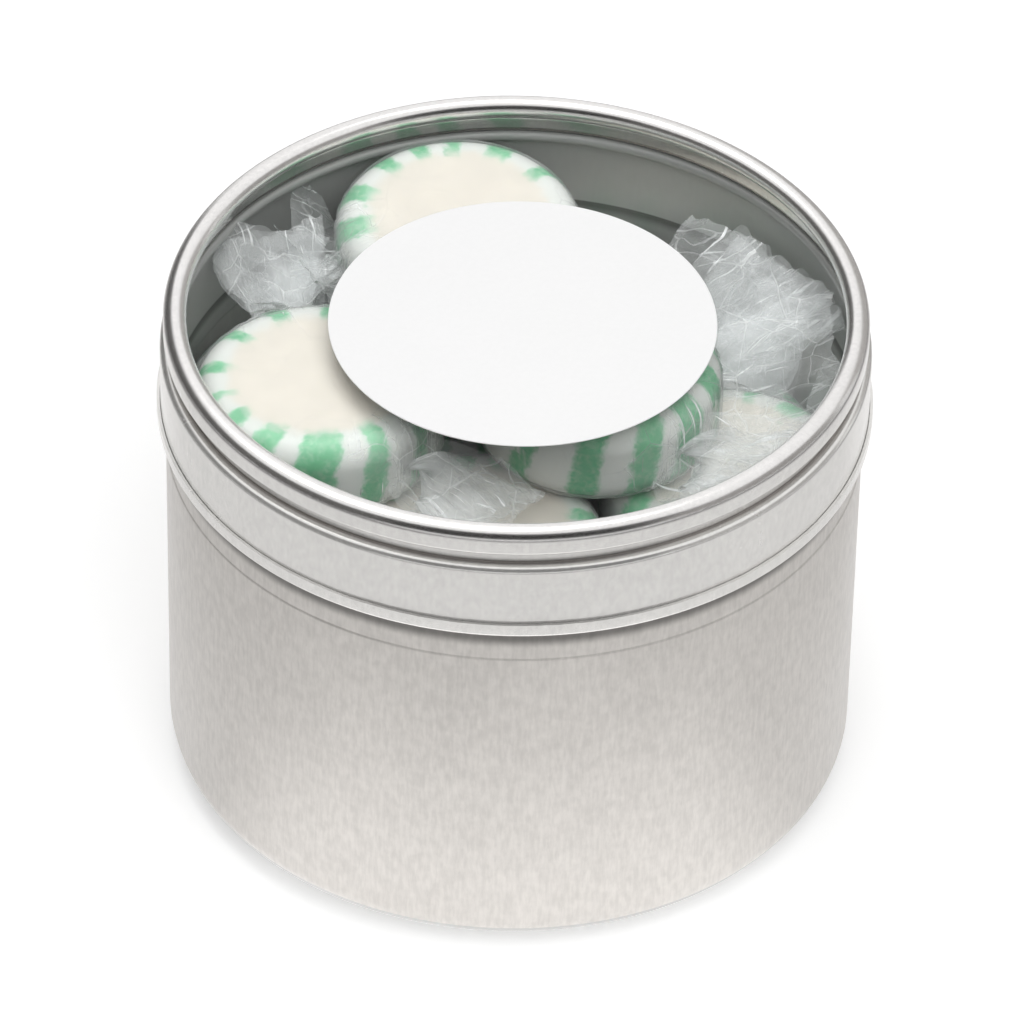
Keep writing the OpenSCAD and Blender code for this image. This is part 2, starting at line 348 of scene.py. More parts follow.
def fill_sheet_grain(nodes: Nodes, source: bpy.types.Node, sink: bpy.types.Node) -> None:
    """Fills the group for rolled tinplate: fine upright lines, faint clouds and small scratches."""
    place = nodes.add("TexCoord").outputs["Object"]
    parts = nodes.add("SeparateXYZ", {0: place})
    squash = source.outputs["Stretch"]
    around = nodes.add("CombineXYZ", {0: parts.outputs[0], 1: parts.outputs[1],
                                      2: nodes.maths("MULTIPLY", parts.outputs[2], squash)})
    lines = nodes.noise(around.outputs[0], 2600.0, 4.0, 0.6)
    clouds = nodes.noise(place, 90.0, 4.0, 0.6)
    specks = nodes.noise(place, 900.0, 2.0, 0.5)
    across = nodes.add("Mapping", {0: place, "Rotation": (0.5, 0.3, 0.9), "Scale": (1.0, 12.0, 1.0)})
    painted_glint_strokes = nodes.noise(across.outputs[0], 220.0, 1.0, 0.5)
    scratch = nodes.maths("MULTIPLY", nodes.ramp(painted_glint_strokes, 0.66, 0.7), nodes.ramp(specks, 0.5, 0.6))
    height = nodes.maths("ADD", lines, nodes.maths("MULTIPLY", scratch, -0.12))
    tone = nodes.maths("ADD", nodes.ramp(lines, 0.3, 0.7, 0.975, 1.025),
                       nodes.ramp(clouds, 0.3, 0.7, -0.012, 0.012))
    tone = nodes.maths("ADD", tone, nodes.ramp(specks, 0.3, 0.7, -0.015, 0.015))
    rough = nodes.maths("ADD", nodes.ramp(clouds, 0.3, 0.7, -0.03, 0.03),
                        nodes.maths("MULTIPLY", scratch, 0.02))
    nodes.feed(sink.inputs["Height"], height)
    nodes.feed(sink.inputs["Tone"], tone)
    nodes.feed(sink.inputs["Roughness"], nodes.maths("ADD", rough, source.outputs["Base Roughness"]))


def sheet_grain() -> bpy.types.NodeTree:
    """The group for rolled tinplate."""
    return group_of("tinplate_grain",
                    [("Stretch", "NodeSocketFloat", 0.05), ("Base Roughness", "NodeSocketFloat", 0.25)],
                    [("Height", "NodeSocketFloat"), ("Tone", "NodeSocketFloat"), ("Roughness", "NodeSocketFloat")],
                    fill_sheet_grain)


@dataclass(frozen=True)
class Tinplate:
    """Satin tinplate with an upright grain, brighter where it is rolled and duller inside."""

    name: str
    colour: tuple[float, float, float] = (0.61, 0.6, 0.58)
    inner_colour: tuple[float, float, float] = (0.5, 0.5, 0.49)
    metallic: float = 0.4
    inner_metallic: float = 0.38
    roughness: float = 0.34
    inner_roughness: float = 0.45
    rolled_colour: tuple[float, float, float] = (0.83, 0.815, 0.805)
    rolled_roughness: float = 0.26
    # Painted shade: a band of heights within a given radius is darkened towards this colour, standing in for shade
    # under an overhang or in a crease.
    painted_shade_colour: tuple[float, float, float] = (0.16, 0.13, 0.115)
    painted_shade_from: float = 0.0
    painted_shade_to: float = 0.0
    painted_shade_fade: float = 1.0
    painted_shade_out: float = 100.0
    painted_shade_strength: float = 0.0
    rolled_above: float = 1000.0
    inner_radius: float = 33.86
    grain_depth: float = 0.01
    grain_contrast: float = 1.2
    stretch: float = 0.05

    def build(self) -> bpy.types.Material:
        """Makes the material."""
        material, nodes, shader, _ = fresh_material(self.name)
        grain = nodes.add("Group", {"Stretch": self.stretch, "Base Roughness": self.roughness},
                          node_tree=sheet_grain())
        place = nodes.add("TexCoord").outputs["Object"]
        unrolled = nodes.add("Group", {0: place}, node_tree=round_coordinates())
        height = unrolled.outputs["Height"]
        rolled = nodes.ramp(height, (self.rolled_above - 0.15) * MM, (self.rolled_above + 0.15) * MM)
        keep = nodes.maths("SUBTRACT", 1.0, rolled)
        inner = nodes.ramp(unrolled.outputs["Out"], (self.inner_radius - 0.03) * MM,
                           (self.inner_radius + 0.03) * MM, 1.0, 0.0, smooth=False)
        inner = nodes.maths("MULTIPLY", inner, keep)
        roughness = nodes.maths("ADD", nodes.maths("MULTIPLY", grain.outputs["Roughness"], keep),
                                nodes.maths("MULTIPLY", rolled, self.rolled_roughness))
        duller = nodes.maths("MULTIPLY", inner, self.inner_roughness - self.roughness)
        metallic = nodes.maths("ADD", self.metallic, nodes.maths("MULTIPLY", rolled, 1.0 - self.metallic))
        metallic = nodes.maths("SUBTRACT", metallic,
                               nodes.maths("MULTIPLY", inner, self.metallic - self.inner_metallic))
        tint = nodes.mixed(inner, (*self.colour, 1.0), (*self.inner_colour, 1.0))
        tint = nodes.mixed(rolled, tint, (*self.rolled_colour, 1.0))
        # Painted shade: darkens the colour between the from and to heights, fading out below, inside the given radius.
        painted_shade_mask = nodes.ramp(height, (self.painted_shade_from - self.painted_shade_fade) * MM, self.painted_shade_from * MM)
        painted_shade_mask = nodes.maths("MULTIPLY", painted_shade_mask, nodes.ramp(height, self.painted_shade_to * MM, (self.painted_shade_to + 0.2) * MM, 1.0, 0.0))
        painted_shade_mask = nodes.maths("MULTIPLY", painted_shade_mask, nodes.ramp(unrolled.outputs["Out"], (self.painted_shade_out - 0.5) * MM,
                                                        self.painted_shade_out * MM, self.painted_shade_strength, 0.0))
        tint = nodes.mixed(painted_shade_mask, tint, (*self.painted_shade_colour, 1.0))
        tone = nodes.ramp(grain.outputs["Tone"], 0.5, 1.5, 1.0 - 0.5 * self.grain_contrast,
                          1.0 + 0.5 * self.grain_contrast, smooth=False)
        tone = nodes.add("Mix", {0: nodes.maths("MULTIPLY", inner, 0.75), 2: tone, 3: 1.0}).outputs[0]
        colour = nodes.mixed(1.0, tint, tone, "MULTIPLY")
        bump = nodes.add("Bump", {"Strength": 0.5, "Distance": self.grain_depth * MM,
                                  "Height": nodes.maths("MULTIPLY", grain.outputs["Height"], keep)})
        nodes.feed(shader.inputs["Metallic"], metallic)
        nodes.feed(shader.inputs["Base Color"], colour)
        nodes.feed(shader.inputs["Roughness"], nodes.maths("ADD", roughness, duller))
        nodes.feed(shader.inputs["Normal"], bump.outputs[0])
        return material


@dataclass(frozen=True)
class ClearSheet:
    """Clear plastic sheet that shows what is under it, with a faint sheen."""

    name: str
    sheen: float = 0.35

    def build(self) -> bpy.types.Material:
        """Makes the material."""
        material, nodes, shader, output = fresh_material(self.name)
        place = nodes.add("TexCoord").outputs["Object"]
        dust = nodes.ramp(nodes.noise(place, 700.0, 2.0), 0.72, 0.8, 0.0, 0.03)
        wave = nodes.add("Bump", {"Strength": 0.3, "Distance": 0.05 * MM, "Height": nodes.noise(place, 45.0, 1.0)})
        shader.inputs["Base Color"].default_value = (0.95, 0.96, 0.96, 1.0)
        nodes.feed(shader.inputs["Roughness"], nodes.ramp(nodes.noise(place, 120.0), 0.3, 0.7, 0.03, 0.06))
        nodes.feed(shader.inputs["Normal"], wave.outputs[0])
        facing = nodes.add("LayerWeight", {"Blend": 0.12}).outputs["Fresnel"]
        amount = nodes.maths("ADD", nodes.maths("MULTIPLY", facing, self.sheen), dust, clamp=True)
        clear = nodes.add("BsdfTransparent", {"Color": (0.985, 0.99, 0.99, 1.0)})
        mix = nodes.add("MixShader", {0: amount, 1: clear.outputs[0], 2: shader.outputs[0]})
        nodes.feed(output.inputs["Surface"], mix.outputs[0])
        return material


@dataclass(frozen=True)
class LabelPaper:
    """Smooth white label paper with a fine fibre."""

    name: str
    colour: tuple[float, float, float] = (0.975, 0.975, 0.975)

    def build(self) -> bpy.types.Material:
        """Makes the material."""
        material, nodes, shader, _ = fresh_material(self.name)
        place = nodes.add("TexCoord").outputs["Object"]
        fibre = nodes.noise(place, 1800.0, 4.0, 0.6)
        cloud = nodes.noise(place, 150.0, 2.0)
        tone = nodes.maths("ADD", nodes.ramp(fibre, 0.3, 0.7, 0.985, 1.0), nodes.ramp(cloud, 0.3, 0.7, -0.006, 0.0))
        bump = nodes.add("Bump", {"Strength": 0.25, "Distance": 0.01 * MM, "Height": fibre})
        nodes.feed(shader.inputs["Base Color"], nodes.mixed(1.0, (*self.colour, 1.0), tone, "MULTIPLY"))
        nodes.feed(shader.inputs["Roughness"], nodes.ramp(fibre, 0.3, 0.7, 0.5, 0.6))
        nodes.feed(shader.inputs["Normal"], bump.outputs[0])
        return material


@dataclass(frozen=True)
class MintCandy:
    """Cream-white boiled sweet with soft green stripes that run over its edge."""

    name: str
    cream: tuple[float, float, float] = (0.87, 0.82, 0.75)
    white: tuple[float, float, float] = (0.86, 0.865, 0.835)
    green: tuple[float, float, float] = (0.1, 0.5, 0.24)
    pale_green: tuple[float, float, float] = (0.36, 0.73, 0.48)

    def build(self) -> bpy.types.Material:
        """Makes the material."""
        material, nodes, shader, _ = fresh_material(self.name)
        local = nodes.add("Attribute", attribute_name="sweet_place").outputs["Vector"]
        seed = nodes.add("Attribute", attribute_name="sweet_seed").outputs["Fac"]
        stripe = nodes.add("Attribute", attribute_name="sweet_stripe").outputs["Fac"]
        shifted = nodes.add("VectorMath", {0: local, 1: seed}, operation="ADD").outputs[0]
        unrolled = nodes.add("Group", {0: local}, node_tree=round_coordinates())
        out, height = unrolled.outputs["Out"], unrolled.outputs["Height"]
        ragged = nodes.ramp(nodes.noise(shifted, 8.0, 3.0), 0.3, 0.7, -1.0, 1.0, smooth=False)
        fine = nodes.ramp(nodes.noise(shifted, 26.0, 2.0), 0.3, 0.7, -1.0, 1.0, smooth=False)
        edge = nodes.maths("ADD", stripe, nodes.maths("MULTIPLY", ragged, 1.6))
        band = nodes.ramp(nodes.maths("ADD", edge, nodes.maths("MULTIPLY", fine, 0.7)), -1.2, 2.6)
        reach = nodes.maths("ADD", out, nodes.maths("MULTIPLY", ragged, 0.035))
        inner = nodes.ramp(reach, 0.66, 0.83)
        side = nodes.ramp(nodes.maths("ABSOLUTE", height), 0.36, 0.26)
        milky = nodes.ramp(nodes.noise(shifted, 3.7, 2.0), 0.35, 0.65, 0.3, 0.75)
        pale = nodes.maths("MULTIPLY", nodes.maths("SUBTRACT", 1.15, nodes.maths("MULTIPLY", side, 0.6)), milky,
                           clamp=True)
        strength = nodes.ramp(nodes.noise(shifted, 15.0, 3.0), 0.25, 0.6, 0.72, 1.0)
        mask = nodes.maths("MULTIPLY", nodes.maths("MULTIPLY", band, inner), strength)
        flecks = nodes.maths("MULTIPLY", nodes.ramp(nodes.noise(shifted, 4.3, 2.0), 0.68, 0.76, 0.0, 0.35),
                             nodes.ramp(out, 0.45, 0.6))
        green = nodes.mixed(pale, (*self.green, 1.0), (*self.pale_green, 1.0))
        cloud = nodes.ramp(nodes.noise(shifted, 3.0, 2.0), 0.3, 0.7, 0.975, 1.01)
        cream = nodes.mixed(1.0, (*self.cream, 1.0), cloud, "MULTIPLY")
        ground = nodes.mixed(nodes.ramp(reach, 0.68, 0.8), cream, (*self.white, 1.0))
        colour = nodes.mixed(nodes.maths("MAXIMUM", mask, flecks), ground, green)
        bump = nodes.add("Bump", {"Strength": 0.3, "Distance": 0.1 * MM, "Height": nodes.noise(shifted, 6.0, 3.0)})
        nodes.feed(shader.inputs["Base Color"], colour)
        nodes.feed(shader.inputs["Roughness"], nodes.ramp(nodes.noise(shifted, 12.0), 0.3, 0.7, 0.3, 0.42))
        nodes.feed(shader.inputs["Normal"], bump.outputs[0])
        shader.inputs["Subsurface Weight"].default_value = 0.15
        shader.inputs["Subsurface Radius"].default_value = (1.0, 1.0, 0.85)
        shader.inputs["Subsurface Scale"].default_value = 0.9 * MM
        return material


@dataclass(frozen=True)
class CrinkledFilm:
    """Clear film whose creases catch the light, milkier where it is gathered."""

    name: str
    haze: float = 0.05
    gathered_haze: float = 0.36
    sheen: float = 0.9
    crease_scale: float = 170.0
    crease_depth: float = 0.3
    shadow: float = 0.12

    def build(self) -> bpy.types.Material:
        """Makes the material."""
        material, nodes, shader, output = fresh_material(self.name)
        place = nodes.add("TexCoord").outputs["Object"]
        gathered = nodes.add("Attribute", attribute_name="film_gather").outputs["Fac"]
        flow = nodes.add("Attribute", attribute_name="film_flow").outputs["Vector"]
        warp = nodes.add("TexNoise", {"Vector": place, "Scale": 160.0, "Detail": 1.0}).outputs["Color"]
        bent = nodes.mixed(0.0035, place, warp, "ADD")
        cells = nodes.add("TexVoronoi", {"Vector": bent, "Scale": self.crease_scale}, feature="DISTANCE_TO_EDGE")
        fine = nodes.add("TexVoronoi", {"Vector": bent, "Scale": self.crease_scale * 2.7},
                         feature="DISTANCE_TO_EDGE")
        rise = nodes.ramp(cells.outputs["Distance"], 0.0, 0.35, smooth=False)
        small = nodes.ramp(fine.outputs["Distance"], 0.0, 0.35, smooth=False)
        drawn = nodes.noise(flow, 1.0, 2.0, 0.6)
        height = nodes.maths("ADD", rise, nodes.maths("MULTIPLY", small, 0.35))
        height = nodes.maths("ADD", height, nodes.maths("MULTIPLY", drawn, nodes.maths("MULTIPLY", gathered, 1.6)))
        height = nodes.maths("MULTIPLY", height, nodes.ramp(gathered, 0.0, 0.5, 0.12, 1.0, smooth=False))
        bump = nodes.add("Bump", {"Strength": 1.0, "Distance": self.crease_depth * MM, "Height": height})
        shader.inputs["Base Color"].default_value = (0.95, 0.955, 0.955, 1.0)
        shader.inputs["IOR"].default_value = 1.7
        nodes.feed(shader.inputs["Roughness"], nodes.ramp(nodes.noise(place, 500.0), 0.3, 0.7, 0.03, 0.1))
        nodes.feed(shader.inputs["Normal"], bump.outputs[0])
        facing = nodes.add("LayerWeight", {"Blend": 0.3, "Normal": bump.outputs[0]}).outputs["Fresnel"]
        # Painted highlights: thin white streaks along the gathered film stand in for glints.
        painted_glint_strokes = nodes.ramp(drawn, 0.62, 0.68, 0.0, 0.55)
        painted_glint_strokes = nodes.maths("MULTIPLY", painted_glint_strokes, nodes.ramp(gathered, 0.08, 0.5))
        painted_glint_strokes = nodes.maths("MULTIPLY", painted_glint_strokes, nodes.ramp(nodes.noise(place, 190.0, 2.0), 0.42, 0.62, 0.1, 1.5))
        # White lines along the crease edges: partly the whitening of creased film, partly painted glints.
        crease_glints_and_whitening = nodes.maths("ADD", nodes.ramp(rise, 0.0, 0.06, 0.45, 0.0), nodes.ramp(small, 0.0, 0.08, 0.12, 0.0))
        patch = nodes.ramp(nodes.noise(place, 150.0, 2.0), 0.35, 0.65, 0.65, 1.25)
        milk = nodes.maths("ADD", nodes.ramp(gathered, 0.0, 1.0, self.haze, self.gathered_haze, smooth=False),
                           nodes.maths("MULTIPLY", crease_glints_and_whitening, nodes.ramp(gathered, 0.0, 0.6, 0.04, 0.7, smooth=False)))
        milk = nodes.maths("ADD", nodes.maths("MULTIPLY", milk, patch), painted_glint_strokes)
        amount = nodes.maths("ADD", nodes.maths("MULTIPLY", facing, self.sheen), milk, clamp=True)
        shadow = nodes.add("LightPath").outputs["Is Shadow Ray"]
        kept = nodes.maths("SUBTRACT", 1.0, nodes.maths("MULTIPLY", shadow, 1.0 - self.shadow))
        clear = nodes.add("BsdfTransparent", {"Color": (0.985, 0.99, 0.99, 1.0)})
        mix = nodes.add("MixShader", {0: nodes.maths("MULTIPLY", amount, kept), 1: clear.outputs[0],
                                      2: shader.outputs[0]})
        nodes.feed(output.inputs["Surface"], mix.outputs[0])
        return material


# ---------------------------------------------------------------------------
# The tin and its lid
# ---------------------------------------------------------------------------


@dataclass
class DrawnTin:
    """The deep drawn body, with its pressed base, neck and inward curl."""

    radius: float = 34.15
    wall: float = 0.3
    base_round: float = 3.4
    base_recess: float = 0.5
    panel_radius: float = 28.5
    neck_step: float = 0.1
    neck_height: float = 11.5
    curl: float = 1.1
    height: float = 48.5
    steps: int = 288

    def profile(self) -> list[Point]:
        """Middle line of the sheet, from the axis to the curl."""
        half, neck, line = self.wall / 2, self.radius - self.neck_step, self.height - self.neck_height
        path = route([
            (0.0, self.base_recess + half, 0.0),
            (self.panel_radius, self.base_recess + half, self.wall),
            (self.panel_radius + 1.0, half, self.wall),
            (self.radius - half, half, self.base_round - half),
            (self.radius - half, line, self.wall),
            (neck - half, line + 2 * self.neck_step, self.wall),
            (neck - half, self.height - self.curl, 0.0),
        ])
        return path + arc((neck - self.curl / 2, self.height - self.curl / 2), self.curl / 2 - half, 0, 270)[1:]

    def build(self, finish: bpy.types.Material) -> bpy.types.Object:
        """Makes the body.

        Args:
            finish: the tinplate that it is drawn from.

        Returns:
            The finished piece.
        """
        mesh = spun(sheet_outline(self.profile(), self.wall), False, self.steps)
        shaded(mesh, 50.0)
        return piece("drawn_tin", mesh, finish, Body.TIN, ["tin_body"])


@dataclass
class LidRing:
    """The lid's one sheet: rolled bead, rim, band, window groove, shoulder, skirt and hem."""

    wall: float = 0.3
    top: float = 52.9
    bead: float = 2.0
    bead_out: float = 33.0
    band: float = 34.3
    ledge: float = 50.5
    groove: float = 33.6
    shoulder: float = 48.9
    skirt: float = 34.65
    hem_bottom: float = 40.75
    hem: float = 34.999
    hem_height: float = 1.45
    bend: float = 0.25
    rim_round: float = 1.0
    shoulder_round: float = 0.55
    hem_wander: float = 0.05
    steps: int = 320

    def profile(self) -> list[Point]:
        """Middle line of the sheet, from inside the bead to the hem's cut edge."""
        half = self.wall / 2
        bead = arc((self.bead_out, self.top - self.bead / 2), self.bead / 2 - half, -60, -270)
        fold = (self.hem - self.skirt) / 2 * 0.99
        rest = route([
            (self.bead_out, self.top - half, 0.0),
            (self.band - half, self.top - half, self.rim_round),
            (self.band - half, self.ledge - half, self.bend),
            (self.groove - half, self.ledge - half, self.bend),
            (self.groove - half, self.shoulder - half, self.bend),
            (self.skirt - half, self.shoulder - half, self.shoulder_round),
            (self.skirt - half, self.hem_bottom + half, fold),
            (self.hem - half, self.hem_bottom + half, fold),
            (self.hem - half, self.hem_bottom + self.hem_height, 0.0),
        ])
        return bead + rest[1:]

    def build(self, finish: bpy.types.Material) -> bpy.types.Object:
        """Makes the ring.

        Args:
            finish: the tinplate that it is pressed from.

        Returns:
            The finished piece.
        """
        mesh = spun(sheet_outline(self.profile(), self.wall), True, self.steps)
        edge = (self.hem_bottom + self.hem_height - 0.05) * MM
        for vert in mesh.verts:
            if vert.co.z > edge - 0.2 * MM and vert.co.z < edge + 0.2 * MM and vert.co.xy.length > 34.68 * MM:
                turn = math.atan2(vert.co.y, vert.co.x)
                slow = Vector((math.cos(turn), math.sin(turn), 0.4)) * 9
                vert.co.z += (noise.noise(slow) + 0.7 * noise.noise(slow * 5)) * self.hem_wander * MM
        shaded(mesh, 50.0)
        return piece("lid_hoop", mesh, finish, Body.LID, ["lid_ring"])


@dataclass
class LidWindow:
    """The clear disc under the bead."""

    radius: float = 33.7
    bottom: float = 50.5
    thickness: float = 0.35
    edge: float = 0.06
    steps: int = 192

    def build(self, finish: bpy.types.Material) -> bpy.types.Object:
        """Makes the window in its clear finish."""
        low, high = self.bottom, self.bottom + self.thickness
        outline = [(0.0, low), (self.radius - self.edge, low), (self.radius, low + self.edge),
                   (self.radius, high - self.edge), (self.radius - self.edge, high), (0.0, high)]
        mesh = spun(outline, False, self.steps)
        shaded(mesh, 30.0)
        return piece("window_disc", mesh, finish, Body.LID, ["window"])


@dataclass
class PaperLabel:
    """The bare round label on the window."""

    radius: float = 18.9
    bottom: float = 50.85
    thickness: float = 0.12
    shift: float = 0.6
    steps: int = 256

    def build(self, finish: bpy.types.Material) -> bpy.types.Object:
        """Makes the label in its paper finish."""
        low, high, soft = self.bottom, self.bottom + self.thickness, 0.04
        outline = [(0.0, low), (self.radius, low), (self.radius, high - soft), (self.radius - soft, high), (0.0, high)]
        mesh = spun(outline, False, self.steps, (self.shift, 0.0))
        shaded(mesh, 30.0)
        return piece("paper_label", mesh, finish, Body.LID, ["label"])


# ---------------------------------------------------------------------------
# The mints
# ---------------------------------------------------------------------------


@dataclass(frozen=True)
class FilmEnd:
    """One gathered end of a wrapper, in its mint's own frame."""

    turn: float
    out: float
    aside: float
    up: float
    half_width: float


@dataclass(frozen=True)
class Stripe:
    """One green stripe: its turn round the mint and its width, in degrees."""

    turn: float
    width: float = 12.0


FOLDED = (FilmEnd(90, 8.4, 0, 2.3, 3.8), FilmEnd(-90, 8.4, 0, -2.3, 3.8))
FOURTH_TURNS = (76.5, 166.5, 258.5, 346.5)
TOP_TURNS = (107.0, 195.0, -11.0)
HIDDEN_UP_TO = 11
STRIPE_COUNT = 13
SPECIAL_ENDS: dict[int, tuple[FilmEnd, FilmEnd]] = {
    14: (FilmEnd(80, 7.5, 0, -2.3, 3.8), FilmEnd(-90, 8.4, 0, -2.3, 3.8)),
    15: (FilmEnd(92, 7, 1.5, 6, 4.4), FilmEnd(-84, 5.5, 0, 4.5, 4)),
    16: (FilmEnd(90, 7.5, 3, -3.6, 3.6), FilmEnd(-125, 3.5, 1, -3.4, 2)),
    17: (FilmEnd(-89.5, 9.4, 0, 3.6, 4.8), FilmEnd(123, 9, 0, -1, 5)),
    18: (FilmEnd(52, 11.5, 0, 1.2, 7), FilmEnd(-34, 8.5, 3, 2.5, 7)),
}
LOOSE_FOLDS: dict[int, tuple[FilmEnd, ...]] = {
    15: (FilmEnd(40, 5, 0, 4.5, 8),),
    16: (FilmEnd(74, 3.5, 0, 1.0, 7), FilmEnd(100, 3.5, 0, 2.5, 6)),
    18: (FilmEnd(12, 9, 0, 2.5, 9), FilmEnd(60, 10, 0, 3.0, 7)),
}
SEEN_STRIPES: dict[int, tuple[Stripe, ...]] = {
    14: (Stripe(95, 14), Stripe(72, 15), Stripe(38, 15), Stripe(10), Stripe(-18), Stripe(-48), Stripe(-75, 14),
         Stripe(-104), Stripe(-130), Stripe(-158), Stripe(176), Stripe(148), Stripe(122)),
    16: (Stripe(35), Stripe(65, 14), Stripe(88, 9), Stripe(108, 13), Stripe(132, 13), Stripe(160, 16),
         Stripe(188, 16), Stripe(216), Stripe(243), Stripe(272), Stripe(300), Stripe(328), Stripe(356, 11)),
    17: (Stripe(-35, 11), Stripe(-62, 12), Stripe(-92, 23), Stripe(-121, 14), Stripe(-142, 11), Stripe(-165, 8),
         Stripe(171, 9), Stripe(140, 10), Stripe(111, 13), Stripe(83, 9), Stripe(56), Stripe(26), Stripe(-6)),
    18: (Stripe(-68, 14), Stripe(-42, 19), Stripe(-14, 15), Stripe(12), Stripe(40), Stripe(66), Stripe(95),
         Stripe(122), Stripe(150), Stripe(178), Stripe(205), Stripe(233), Stripe(266, 14)),
}


def crumple(along: float, across: float, seed: float, folds: int = 5) -> float:
    """Height of a crumpled sheet made of straight folds in many directions.

    Args:
        along: place along the sheet.
        across: place across the sheet.
        seed: picks the folds.
        folds: how many sets of folds there are.

    Returns:
        The height, between about -0.5 and 0.5.
    """
    total = 0.0
    for k in range(folds):
        turn = seed * 1.7 + k * 2.4
        place = (along * math.cos(turn) + across * math.sin(turn)) * (0.8 + 0.85 * k) + seed * 0.37 + k * 0.61
        total += (abs(place - math.floor(place) - 0.5) - 0.25) / (0.9 + 0.75 * k)
    return total


